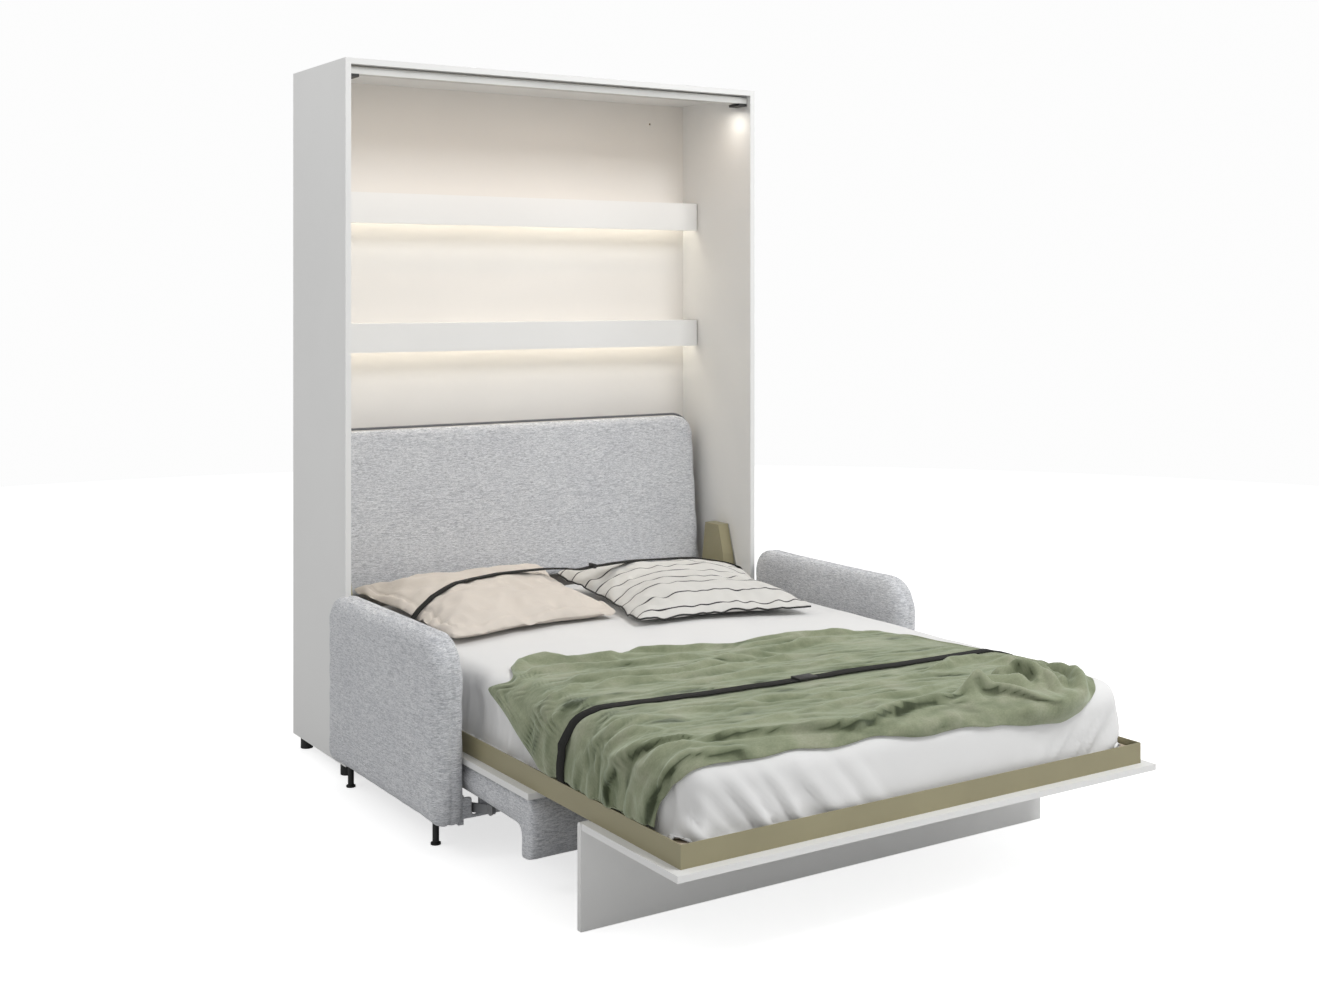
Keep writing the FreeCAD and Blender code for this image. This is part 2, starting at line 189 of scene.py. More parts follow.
class surfaceFinish:
    def __init__(self, name, color, rough, metal=0.0):
        self.material = bpy.data.materials.new(name)
        self.material.use_nodes = True
        self.nodes = self.material.node_tree.nodes
        self.links = self.material.node_tree.links
        self.shader = self.nodes["Principled BSDF"]
        self.shader.inputs["Base Color"].default_value = (*color, 1)
        self.shader.inputs["Roughness"].default_value = rough
        self.shader.inputs["Metallic"].default_value = metal
        self.coords = self.nodes.new("ShaderNodeTexCoord")
        self.normal = None

    def mapping(self, stretch=(1, 1, 1), turn=(0, 0, 0), source="Object"):
        node = self.nodes.new("ShaderNodeMapping")
        node.inputs["Scale"].default_value = stretch
        node.inputs["Rotation"].default_value = turn
        self.links.new(self.coords.outputs[source], node.inputs["Vector"])
        return node.outputs["Vector"]

    def noise(self, scale, detail=3.0, stretch=(1, 1, 1), rough=0.5, turn=(0, 0, 0), source="Object"):
        node = self.nodes.new("ShaderNodeTexNoise")
        node.inputs["Scale"].default_value = scale
        node.inputs["Detail"].default_value = detail
        node.inputs["Roughness"].default_value = rough
        self.links.new(self.mapping(stretch, turn, source), node.inputs["Vector"])
        return node.outputs["Fac"]

    def ramp(self, source, stops):
        node = self.nodes.new("ShaderNodeValToRGB")
        ramp = node.color_ramp
        while len(ramp.elements) < len(stops):
            ramp.elements.new(0.5)
        for element, (place, color) in zip(ramp.elements, stops):
            element.position = place
            element.color = (*color, 1) if len(color) == 3 else color
        self.links.new(source, node.inputs["Fac"])
        return node.outputs["Color"]

    def mix(self, blend, a, b, factor=1.0):
        node = self.nodes.new("ShaderNodeMix")
        node.data_type = "RGBA"
        node.blend_type = blend
        for socket, value in (("Factor_Float", factor), ("A_Color", a), ("B_Color", b)):
            slot = next(i for i in node.inputs if i.identifier == socket)
            if isinstance(value, bpy.types.NodeSocket):
                self.links.new(value, slot)
            else:
                slot.default_value = (*value, 1) if isinstance(value, tuple) else value
        return next(o for o in node.outputs if o.identifier == "Result_Color")

    def math(self, operation, a, b=0.0):
        node = self.nodes.new("ShaderNodeMath")
        node.operation = operation
        for slot, value in zip(node.inputs, (a, b)):
            if isinstance(value, bpy.types.NodeSocket):
                self.links.new(value, slot)
            else:
                slot.default_value = value
        return node.outputs[0]

    def color(self, source):
        self.links.new(source, self.shader.inputs["Base Color"])

    def rough(self, source, low, high):
        node = self.nodes.new("ShaderNodeMapRange")
        node.inputs["To Min"].default_value = low
        node.inputs["To Max"].default_value = high
        self.links.new(source, node.inputs["Value"])
        self.links.new(node.outputs[0], self.shader.inputs["Roughness"])

    def bump(self, height, strength, distance):
        node = self.nodes.new("ShaderNodeBump")
        node.inputs["Strength"].default_value = strength
        node.inputs["Distance"].default_value = distance
        self.links.new(height, node.inputs["Height"])
        if self.normal is not None:
            self.links.new(self.normal, node.inputs["Normal"])
        self.normal = node.outputs["Normal"]
        self.links.new(self.normal, self.shader.inputs["Normal"])

    def sheen(self, weight, rough=0.5, tint=(1, 1, 1)):
        self.shader.inputs["Sheen Weight"].default_value = weight
        self.shader.inputs["Sheen Roughness"].default_value = rough
        self.shader.inputs["Sheen Tint"].default_value = (*tint, 1)


def boardFinish(name, color, rough=0.42):
    f = surfaceFinish(name, color, rough)
    cloud = f.noise(2.2, 3)
    low = tuple(c * 0.97 for c in color)
    f.color(f.ramp(cloud, [(0.3, low), (0.7, color)]))
    grain = f.noise(900, 2)
    f.rough(grain, rough - 0.05, rough + 0.08)
    f.bump(grain, 0.08, 0.0004)
    f.shader.inputs["Specular IOR Level"].default_value = 0.4
    return f.material


def upholsteryFinish(name, light, dark):
    f = surfaceFinish(name, light, 0.92)
    slubs = f.noise(1.0, 3, stretch=(40, 40, 290), rough=0.6)
    threads = f.noise(1.0, 4, stretch=(105, 105, 600), rough=0.7)
    specks = f.noise(520, 2)
    cloud = f.noise(7, 4)
    base = f.ramp(threads, [(0.34, dark), (0.50, light), (0.68, tuple(min(1, c * 1.2) for c in light))])
    base = f.mix("MULTIPLY", base, f.ramp(slubs, [(0.36, (0.74, 0.75, 0.77)), (0.56, (1, 1, 1))]))
    base = f.mix("MULTIPLY", base, f.ramp(specks, [(0.30, (0.72, 0.72, 0.73)), (0.56, (1, 1, 1))]))
    base = f.mix("MULTIPLY", base, f.ramp(cloud, [(0.3, (0.93, 0.93, 0.94)), (0.7, (1, 1, 1))]))
    f.color(base)
    f.bump(slubs, 0.45, 0.003)
    f.bump(threads, 0.55, 0.002)
    f.bump(specks, 0.35, 0.001)
    f.sheen(0.25, 0.6)
    f.shader.inputs["Specular IOR Level"].default_value = 0.2
    return f.material


def cottonFinish(name, color, weave=1.0):
    f = surfaceFinish(name, color, 0.85)
    cross = f.noise(1.0, 2, stretch=(1400, 240, 240))
    down = f.noise(1.0, 2, stretch=(240, 1400, 1400))
    cloud = f.noise(3.5, 3)
    f.color(f.ramp(cloud, [(0.3, tuple(c * 0.96 for c in color)), (0.7, color)]))
    f.bump(f.math("ADD", cross, down), 0.12 * weave, 0.0006)
    f.sheen(0.15, 0.5)
    f.shader.inputs["Specular IOR Level"].default_value = 0.25
    return f.material


def paintFinish(name, color, rough=0.45, metal=0.0):
    f = surfaceFinish(name, color, rough, metal)
    peel = f.noise(420, 2)
    cloud = f.noise(6, 3)
    f.color(f.ramp(cloud, [(0.3, tuple(c * 0.92 for c in color)), (0.7, color)]))
    f.rough(peel, rough - 0.06, rough + 0.08)
    f.bump(peel, 0.10, 0.0004)
    return f.material


def woodFinish(name, light, dark):
    f = surfaceFinish(name, light, 0.6)
    rings = f.noise(1.0, 5, stretch=(6, 90, 90))
    f.color(f.ramp(rings, [(0.35, dark), (0.62, light)]))
    f.bump(rings, 0.15, 0.0006)
    return f.material


print("materials", round(time.time() - started, 1))
whiteBoard = boardFinish("whiteBoard", (0.80, 0.80, 0.79))
backBoard = boardFinish("backBoard", (0.78, 0.755, 0.72), 0.5)
battenWood = woodFinish("battenWood", (0.62, 0.46, 0.28), (0.45, 0.31, 0.17))
slatWood = woodFinish("slatWood", (0.58, 0.50, 0.39), (0.46, 0.38, 0.28))
olivePaint = paintFinish("olivePaint", (0.32, 0.29, 0.175), 0.42)
railMetal = paintFinish("railMetal", (0.62, 0.62, 0.60), 0.35, 0.3)
zincSteel = paintFinish("zincSteel", (0.50, 0.50, 0.50), 0.35, 1.0)
strutBlack = paintFinish("strutBlack", (0.02, 0.02, 0.02), 0.35)
blackPlastic = paintFinish("blackPlastic", (0.018, 0.018, 0.018), 0.5)
greyCloth = upholsteryFinish("greyCloth", (0.73, 0.74, 0.755), (0.40, 0.41, 0.435))
linkGrey = paintFinish("linkGrey", (0.24, 0.245, 0.255), 0.6)
whiteSheet = cottonFinish("whiteSheet", (0.80, 0.80, 0.795))

glow = surfaceFinish("warmGlow", (1.0, 0.93, 0.82), 0.5)
glow.shader.inputs["Emission Color"].default_value = (1.0, 0.93, 0.80, 1)
glow.shader.inputs["Emission Strength"].default_value = 6
opal = glow.noise(60, 2)
glow.rough(opal, 0.4, 0.6)
warmGlow = glow.material

nodeFinishes = {
    "side_panel_left": whiteBoard, "side_panel_right": whiteBoard, "top_panel": whiteBoard,
    "bottom_panel": whiteBoard, "back_panel": backBoard, "wall_batten_lower": battenWood,
    "wall_batten_upper": battenWood, "cabinet_feet": blackPlastic, "shelf_upper_board": whiteBoard,
    "shelf_upper_fascia": whiteBoard, "shelf_lower_board": whiteBoard, "shelf_lower_fascia": whiteBoard,
    "led_strip_upper": warmGlow, "led_strip_lower": warmGlow, "top_rail": railMetal,
    "corner_lamp_left": blackPlastic, "corner_lamp_right": blackPlastic, "headboard_board": whiteBoard,
    "headboard_brackets": battenWood, "pivot_plate_left": zincSteel, "pivot_plate_right": zincSteel,
    "strut_housing_left": olivePaint, "strut_housing_right": olivePaint, "arm_feet": blackPlastic,
    "base_rear_rail": battenWood, "base_side_left": greyCloth, "base_side_right": greyCloth,
    "strut_cylinder_left": strutBlack, "strut_cylinder_right": strutBlack, "strut_rod_left": zincSteel,
    "strut_rod_right": zincSteel, "frame_side_left": olivePaint, "frame_side_right": olivePaint,
    "frame_head_rail": olivePaint, "frame_foot_rail": olivePaint, "cross_members": olivePaint,
    "slats": slatWood, "slat_holder_left": blackPlastic, "slat_holder_right": blackPlastic,
    "front_panel_lower": whiteBoard, "front_panel_upper": whiteBoard, "leg_hinge_brackets": zincSteel,
    "leg_panel": whiteBoard, "leg_pins": zincSteel, "front_links": linkGrey, "rear_links": linkGrey,
    "seat_board": greyCloth, "seat_lugs": zincSteel,
}
for name, material in nodeFinishes.items():
    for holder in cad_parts[name].material_slots:
        holder.material = material


def clothOver(name, node, body, settings, material=None):
    nodes = [node] if isinstance(node, str) else node
    piece = bpy.data.objects.new(name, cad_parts[nodes[0]].data.copy())
    scene.collection.objects.link(piece)
    bm = bmesh.new()
    for each in nodes:
        bm.from_mesh(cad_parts[each].data)
    bmesh.ops.remove_doubles(bm, verts=bm.verts, dist=0.0001)
    bm.to_mesh(piece.data)
    bm.free()
    shrinkTo = settings.get("inset", 0.0)
    chosen(piece)
    remesh = piece.modifiers.new("remesh", "REMESH")
    remesh.mode = "VOXEL"
    remesh.voxel_size = settings["voxel"]
    bpy.ops.object.modifier_apply(modifier="remesh")
    if shrinkTo:
        for v in piece.data.vertices:
            v.co -= v.normal * shrinkTo
    inflate(piece, settings)
    smooth = piece.modifiers.new("smooth", "SMOOTH")
    smooth.factor = 0.5
    smooth.iterations = settings.get("smooth", 3)
    bpy.ops.object.modifier_apply(modifier="smooth")
    detail = piece.modifiers.new("detail", "SUBSURF")
    detail.levels = 1
    detail.render_levels = 1
    bpy.ops.object.modifier_apply(modifier="detail")
    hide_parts(*nodes)
    return dressPiece(piece, body, material or greyCloth, 60)


def pressSeam(piece, axis, place, depth, width, inward):
    points = pointsOf(piece.data)
    normals = np.array([v.normal for v in piece.data.vertices])
    groove = np.exp(-((points[:, axis] - place) / width) ** 2) * depth
    mask = np.abs(normals[:, axis]) < inward
    points -= normals * (groove * mask)[:, None]
    putPoints(piece.data, points)


armLook = {"voxel": 0.010, "inset": 0.003, "pressure": 2.5, "frames": 14, "cap": 0.008, "fill": 0.85}
for side, sign in (("left", -1), ("right", 1)):
    arm = clothOver("armPad_" + side, "arm_" + side, "cabinet", armLook)
    pressSeam(arm, 0, sign * 0.787, 0.0050, 0.0045, 0.6)
print("arms", round(time.time() - started, 1))

headboardLook = {"voxel": 0.012, "inset": 0.002, "pressure": 1.5, "frames": 12, "cap": 0.006, "fill": 0.8}
clothOver("headboardPad", "headboard_panel", "cabinet", headboardLook)
pipingGrey = cottonFinish("pipingGrey", (0.14, 0.145, 0.155))
pipingLook = {
    "foot": (0, front + 0.272, 0.492), "lean": math.atan2(50.0, 543.0), "half": 0.7235,
    "tall": 0.5435, "corner": 0.078, "back": 0.033,
}


# follows the leaning panel's rear edge
def headboardEdge():
    look = pipingLook
    turn = Matrix.Rotation(-look["lean"], 3, "X")
    line = [(-look["half"], 0.03), (-look["half"], 0.25)]
    for i in range(13):
        a = math.pi / 2 * i / 12
        across = -look["half"] + look["corner"] * (1 - math.cos(a))
        line.append((across, look["tall"] - look["corner"] * (1 - math.sin(a))))
    line += [(-x, z) for x, z in reversed(line)]
    return [turn @ Vector((x, look["back"], z)) + Vector(look["foot"]) for x, z in line]


headboardPiping = tube("headboardPiping", headboardEdge(), 0.004)
dressPiece(headboardPiping, "cabinet", pipingGrey, 60)
print("headboard", round(time.time() - started, 1))

seatLook = {"voxel": 0.012, "inset": 0.003, "pressure": 1.5, "frames": 12, "cap": 0.006, "fill": 0.8}
clothOver("seatPad", ["seat_cushion", "seat_board"], "seat", {**seatLook, "voxel": 0.011, "smooth": 8})
clothOver("backrestPad", "sofa_backrest", "bed", seatLook)
baseLook = {**seatLook, "voxel": 0.006, "inset": 0.001, "cap": 0.002}
clothOver("baseFrontPad", "base_front_rail", "cabinet", baseLook)
print("seat and backrest", round(time.time() - started, 1))


mattressLow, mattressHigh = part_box("mattress")
sheetLook = {"low": mattressLow, "high": mattressHigh, "step": 0.0125, "radius": 0.062, "crown": 0.006}


def sheetShape(points):
    low, high = np.array(sheetLook["low"]), np.array(sheetLook["high"])
    under = low - np.array((0, 0, sheetLook["radius"]))      # only the top edge and the upright edges are round
    over = high + np.array((0, 0.042, 0))                    # the head end stays nearly square
    points = roundOff(points, under, over, sheetLook["radius"])
    middle = (low + high) / 2
    half = (high - low) / 2
    rel = (points - middle) / half
    up = np.clip((points[:, 2] - middle[2]) / half[2], 0, 1)
    points[:, 2] += up * sheetLook["crown"] * (1 - rel[:, 0] ** 4) * (1 - rel[:, 1] ** 4)
    return points


bm = gridBlock(sheetLook["low"], sheetLook["high"], (sheetLook["step"],) * 3)
putPoints(bm, sheetShape(pointsOf(bm)))
bmesh.ops.recalc_face_normals(bm, faces=bm.faces)
mattress = newPiece("mattressSheet", bm, "bed", whiteSheet, 70)


def sheetFolds(piece):
    low, high = np.array(sheetLook["low"]), np.array(sheetLook["high"])
    points = pointsOf(piece.data)
    normals = np.array([v.normal for v in piece.data.vertices])
    x, y, z = points.T
    height = np.clip((z - low[2]) / (high[2] - low[2]), 0, 1)
    side = np.clip((np.abs(x) - (high[0] - 0.05)) / 0.05, 0, 1)
    foot = np.clip((low[1] + 0.05 - y) / 0.05, 0, 1)
    depth = np.zeros(len(points))
    soft = wave(points, 3.0, 2) * 0.004 + wave(points, 9.0, 5) * 0.0015
    depth += soft
    # upright soft folds along the sides
    hang = wave(points, 1.0, 3, (2, 17, 2.5)) + 0.5 * wave(points, 1.0, 8, (2, 36, 3))
    depth += (hang - 0.22) * side * np.sin(np.pi * np.clip(height * 0.8 + 0.15, 0, 1)) * 0.030
    for sign, reach in ((-1, 0.62), (1, 0.42)):                # gathers that fan out from the two foot corners
        lean = x - sign * 0.80 * z + 0.03 * wave(points, 6.0, 12)
        line = np.array([noise.noise(Vector((l * 21, 2.2 + sign, 0.4))) for l in lean])
        crease = np.clip(1 - np.abs(line) * 4.5, 0, 1)
        near = np.clip(1 - np.abs(x - sign * high[0]) / reach, 0, 1) ** 0.8
        depth += (line * 0.024 - crease * 0.017) * foot * near * np.clip(1.15 - height * 1.25, 0, 1)
    points += normals * depth[:, None]
    # the strut housings are close at the head
    room = 0.002 + 0.010 * np.clip((front - 0.60 - points[:, 1]) / 0.15, 0, 1)
    points[:, 0] = np.clip(points[:, 0], low[0] - room, high[0] + room)
    points[:, 1] = np.clip(points[:, 1], low[1] - 0.012, high[1])
    putPoints(piece.data, points)


sheetFolds(mattress)
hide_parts("mattress")
print("mattress", round(time.time() - started, 1))


def pillowFinish(name, color, stripes=None):
    f = surfaceFinish(name, color, 0.88)
    weave = f.noise(1.0, 2, stretch=(900, 900, 300))
    cloud = f.noise(5, 4)
    base = f.ramp(cloud, [(0.3, tuple(c * 0.93 for c in color)), (0.7, color)])
    if stripes:
        place = f.nodes.new("ShaderNodeAttribute")
        place.attribute_name = "clothPlace"
        split = f.nodes.new("ShaderNodeSeparateXYZ")
        f.links.new(place.outputs["Vector"], split.inputs["Vector"])
        along = f.math("MULTIPLY", split.outputs["Y"], 1 / stripes["pitch"])
        saw = f.math("PINGPONG", along, 0.5)
        line = f.math("LESS_THAN", saw, stripes["width"] / stripes["pitch"] / 2)
        base = f.mix("MIX", base, stripes["color"], line)
    f.color(base)
    f.bump(f.noise(1.0, 4, stretch=(34, 46, 30), rough=0.62), 0.35, 0.004)
    f.bump(weave, 0.25, 0.0008)
    f.sheen(0.2, 0.5)
    f.shader.inputs["Specular IOR Level"].default_value = 0.2
    return f.material


pillowBeige = pillowFinish("pillowBeige", (0.68, 0.62, 0.555))
stripeLook = {"pitch": 0.078, "width": 0.006, "color": (0.03, 0.025, 0.03)}
pillowStripe = pillowFinish("pillowStripe", (0.68, 0.67, 0.64), stripeLook)
pillowPiping = cottonFinish("pillowPiping", (0.03, 0.03, 0.03))


def makePillow(name, node, material, look):
    half = Vector((0.32, 0.34, 0.012))
    bm = gridBlock(-half, half, (0.013, 0.013, 0.012))
    points = pointsOf(bm)
    u, v = points[:, 0] / half.x, points[:, 1] / half.y
    points[:, 2] += wave(points, 9, look["seed"]) * 0.004
    putPoints(bm, points)
    mesh = bpy.data.meshes.new(name)
    bm.to_mesh(mesh)
    bm.free()
    flat = mesh.attributes.new("clothPlace", "FLOAT_VECTOR", "POINT")
    flat.data.foreach_set("vector", points.ravel())
    seam = []
    for i, p in enumerate(points):
        onEdge = abs(abs(p[0]) - half.x) < 1e-4 or abs(abs(p[1]) - half.y) < 1e-4
        if abs(p[2]) < 0.009 and onEdge:
            seam.append(i)
    piece = bpy.data.objects.new(name, mesh)
    scene.collection.objects.link(piece)
    puff = np.clip((1 - np.abs(u) ** 3.2) * (1 - np.abs(v) ** 3.2), 0, 1) ** 0.55
    blow = {"frames": 22, "cap": 1.0, "tension": 18, "quality": 7}
    inflate(piece, {**blow, "pressure": look["pressure"], "bending": look["bending"]})
    blown = pointsOf(mesh)
    bulge = blown[:, 2] / np.abs(blown[:, 2]).max() * 0.55 + np.sign(points[:, 2]) * puff * 0.45
    blown[:, 0] *= half.x / np.abs(blown[:, 0]).max()
    blown[:, 1] *= half.y / np.abs(blown[:, 1]).max()
    u = 0.30 * blown[:, 0] / half.x + 0.70 * u              # the sides pull in a little between the corners
    v = 0.30 * blown[:, 1] / half.y + 0.70 * v
    corners = np.array(look["corners"])                       # front left, front right, rear right, rear left
    a, b = ((u + 1) / 2)[:, None], ((v + 1) / 2)[:, None]
    plan = (1 - b) * ((1 - a) * corners[0] + a * corners[1]) + b * ((1 - a) * corners[3] + a * corners[2])
    upper = np.clip(bulge, 0, None) * look["tall"]
    lower = np.clip(bulge, None, 0) * 0.022
    crumple = np.array([noise.noise(Vector((x * 9, y * 9, look["seed"] * 3.7))) for x, y in plan])
    crease = np.array([abs(noise.noise(Vector((x * 17, y * 15, look["seed"] * 1.9)))) for x, y in plan])
    level = look["rest"] + 0.024 + 0.030 * b[:, 0] ** 2 * look["raise"]
    wrinkle = crumple * 0.010 + (0.25 - crease) * 0.030 * (1 - puff * 0.4)
    z = level + upper + lower + np.where(bulge > 0, wrinkle, crumple * 0.003)
    z = np.maximum(z, look["rest"] + 0.001)
    points = np.stack([plan[:, 0], plan[:, 1] + front, z], axis=1)
    putPoints(mesh, points)
    mesh.update()
    chosen(piece)
    detail = piece.modifiers.new("detail", "SUBSURF")
    detail.levels = 1
    detail.render_levels = 1
    bpy.ops.object.modifier_apply(modifier="detail")
    if look["flange"]:
        place = np.array([d.vector for d in mesh.attributes["clothPlace"].data])
        inside = np.minimum(half.x - np.abs(place[:, 0]), half.y - np.abs(place[:, 1]))
        points = pointsOf(mesh)
        raised = points[:, 2] > look["rest"] + 0.012
        points[:, 2] -= np.exp(-((inside - look["flange"]) / 0.006) ** 2) * 0.006 * raised
        putPoints(mesh, points)
    dressPiece(piece, "bed", material, 70)
    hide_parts(node)
    angles = np.arctan2(v[seam], u[seam])
    seam = [seam[i] for i in np.argsort(angles)]
    return piece, [mesh.vertices[i].co.copy() for i in seam]


sheetTop = 0.474
pillowLooks = {
    "left": {"corners": [(-0.630, -0.460), (-0.040, -0.385), (0.045, 0.238), (-0.645, 0.235)],
             "tall": 0.078, "raise": 1.1, "pressure": 3.0, "bending": 0.15, "seed": 4, "rest": sheetTop, "slot": "pillow_beige", "flange": 0.032},
    "right": {"corners": [(-0.050, -0.535), (0.510, -0.650), (0.630, -0.070), (0.036, 0.132)],
              "tall": 0.076, "raise": 1.1, "pressure": 3.0, "bending": 0.15, "seed": 9, "rest": sheetTop, "slot": "pillow_white", "flange": 0.0},
}
pillowLeft, leftSeam = makePillow("pillowLeft", "pillow_left", pillowBeige, pillowLooks["left"])
pillowRight, rightSeam = makePillow("pillowRight", "pillow_right", pillowStripe, pillowLooks["right"])
piping = tube("pillowRightPiping", rightSeam, 0.0028, closed=True)
dressPiece(piping, "bed", pillowPiping, 60)
for piece in (pillowLeft, pillowRight, piping):
    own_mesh(piece)
print("pillows", round(time.time() - started, 1))


def throwFinish():
    f = surfaceFinish("throwGreen", (0.27, 0.30, 0.20), 0.9)
    cloud = f.noise(9, 5, rough=0.62)
    nap = f.noise(170, 3, stretch=(1, 2.5, 1))
    greens = [(0.30, (0.185, 0.214, 0.130)), (0.52, (0.258, 0.286, 0.188)), (0.74, (0.330, 0.340, 0.250))]
    base = f.ramp(cloud, greens)
    base = f.mix("MULTIPLY", base, f.ramp(nap, [(0.3, (0.86, 0.87, 0.85)), (0.65, (1, 1, 1))]))
    # painted shade and painted highlight: the foldShade value darkens fold hollows and overhang feet and brightens
    # fold ridges
    fold = f.nodes.new("ShaderNodeAttribute")
    fold.attribute_name = "foldShade"
    shades = [(0.0, (0.22, 0.24, 0.20)), (0.18, (0.66, 0.68, 0.64)), (0.5, (0.90, 0.90, 0.90)),
              (0.85, (1.08, 1.06, 1.08))]
    base = f.mix("MULTIPLY", base, f.ramp(fold.outputs["Fac"], shades))
    f.color(base)
    f.bump(f.noise(1.0, 4, stretch=(14, 46, 30), rough=0.6), 0.5, 0.006)
    f.bump(nap, 0.25, 0.0015)
    f.sheen(0.55, 0.45, (0.85, 0.95, 0.78))
    f.shader.inputs["Specular IOR Level"].default_value = 0.15
    return f.material


throwGreen = throwFinish()
throwLook = {
    "step": 0.0095, "thick": 0.004, "top": 0.478,
    "side": -0.711, "sideBend": 0.06, "foot": front - 1.749, "footBend": 0.062,
    # along the cloth from the side hem, then where its head edge and its foot edge are
    "outline": [
        (-0.850, -1.175, -1.640), (-0.790, -1.110, -1.648), (-0.755, -1.030, -1.662),
        (-0.722, -0.950, -1.700), (-0.696, -0.800, -1.722), (-0.668, -0.890, -1.730),
        (-0.650, -0.885, -1.732), (-0.615, -0.790, -1.732), (-0.560, -0.745, -1.730),
        (-0.510, -0.750, -1.730), (-0.440, -0.800, -1.735), (-0.350, -0.830, -1.740),
        (-0.245, -0.795, -1.742), (-0.130, -0.850, -1.742), (0.040, -0.880, -1.750),
        (0.260, -0.900, -1.764), (0.430, -0.930, -1.772), (0.500, -0.965, -1.768),
        (0.545, -1.060, -1.750), (0.590, -1.330, -1.725), (0.615, -1.450, -1.690),
    ],
    # folds: height, width towards the head, width towards the foot, lean, then the line that the fold follows
    "folds": [
        (0.026, 0.030, 0.010, 0.008, [
            (-0.84, -1.47), (-0.77, -1.45), (-0.72, -1.49), (-0.67, -1.57), (-0.57, -1.62)]),
        (0.024, 0.050, 0.008, 0.014, [
            (-0.62, -1.63), (-0.51, -1.66), (-0.35, -1.68), (-0.20, -1.70), (-0.08, -1.68), (0.07, -1.67), (0.22, -1.665)]),
        (0.013, 0.022, 0.010, 0.006, [
            (-0.82, -1.61), (-0.75, -1.63), (-0.69, -1.68), (-0.60, -1.70), (-0.49, -1.715)]),
        (0.030, 0.016, 0.040, 0.000, [
            (-0.64, -0.83), (-0.58, -0.78), (-0.51, -0.78), (-0.44, -0.84), (-0.30, -0.86)]),
        (0.030, 0.020, 0.040, 0.000, [
            (-0.34, -0.86), (-0.24, -0.83), (-0.12, -0.88), (0.04, -0.91), (0.26, -0.925), (0.47, -0.97)]),
        (0.021, 0.018, 0.028, 0.000, [
            (-0.66, -1.08), (-0.53, -1.01), (-0.43, -1.04), (-0.28, -1.09), (-0.13, -1.06), (0.18, -1.01), (0.46, -1.02)]),
        (0.015, 0.014, 0.022, 0.000, [
            (-0.57, -1.12), (-0.49, -1.09), (-0.38, -1.11), (-0.26, -1.14), (-0.07, -1.11), (0.13, -1.12)]),
        (0.015, 0.016, 0.020, 0.000, [
            (-0.66, -0.92), (-0.58, -0.87), (-0.46, -0.91), (-0.33, -0.95), (-0.10, -0.97)]),
        (0.016, 0.012, 0.018, 0.000, [
            (-0.83, -1.15), (-0.77, -1.12), (-0.70, -1.12), (-0.62, -1.09), (-0.53, -1.06)]),
        (0.016, 0.012, 0.018, 0.000, [
            (-0.84, -1.20), (-0.76, -1.18), (-0.70, -1.17), (-0.62, -1.20), (-0.48, -1.21)]),
        (0.012, 0.014, 0.020, 0.000, [(-0.45, -1.22), (-0.20, -1.20), (0.05, -1.22), (0.30, -1.19)]),
        (0.014, 0.012, 0.014, 0.000, [(-0.84, -1.31), (-0.76, -1.32), (-0.68, -1.40), (-0.56, -1.43)]),
        (0.016, 0.012, 0.016, 0.000, [(-0.84, -1.39), (-0.77, -1.38), (-0.71, -1.43), (-0.62, -1.50)]),
        (0.014, 0.014, 0.016, 0.000, [(-0.84, -1.55), (-0.77, -1.54), (-0.71, -1.59), (-0.60, -1.66)]),
        (0.014, 0.018, 0.024, 0.000, [
            (-0.52, -1.40), (-0.36, -1.46), (-0.26, -1.42), (-0.18, -1.45), (-0.04, -1.50)]),
        (0.012, 0.014, 0.024, 0.000, [
            (-0.48, -1.55), (-0.30, -1.58), (-0.10, -1.55), (0.08, -1.58), (0.24, -1.55)]),
        (0.010, 0.014, 0.020, 0.000, [(-0.10, -1.43), (0.08, -1.47), (0.22, -1.45), (0.36, -1.50)]),
        (0.034, 0.014, 0.050, 0.000, [
            (0.28, -1.44), (0.38, -1.40), (0.47, -1.40), (0.53, -1.44), (0.57, -1.52)]),
        (0.028, 0.026, 0.008, 0.012, [(0.20, -1.66), (0.29, -1.68), (0.36, -1.715), (0.44, -1.735)]),
        (0.024, 0.018, 0.008, 0.010, [(0.40, -1.56), (0.43, -1.60), (0.44, -1.65), (0.42, -1.69)]),
        (0.024, 0.018, 0.008, 0.010, [(0.50, -1.55), (0.53, -1.60), (0.53, -1.66), (0.50, -1.71)]),
        (0.046, 0.026, 0.020, 0.000, [(0.17, -1.69), (0.27, -1.625), (0.36, -1.63), (0.42, -1.68)]),
        (0.050, 0.018, 0.020, 0.000, [(0.34, -1.58), (0.42, -1.60), (0.47, -1.66), (0.47, -1.72)]),
        (0.044, 0.020, 0.022, 0.000, [
            (0.50, -1.56), (0.565, -1.60), (0.575, -1.68), (0.52, -1.735), (0.40, -1.745), (0.26, -1.74)]),
        (0.020, 0.014, 0.014, 0.000, [(0.12, -1.735), (0.00, -1.735), (-0.12, -1.73)]),
    ],
}


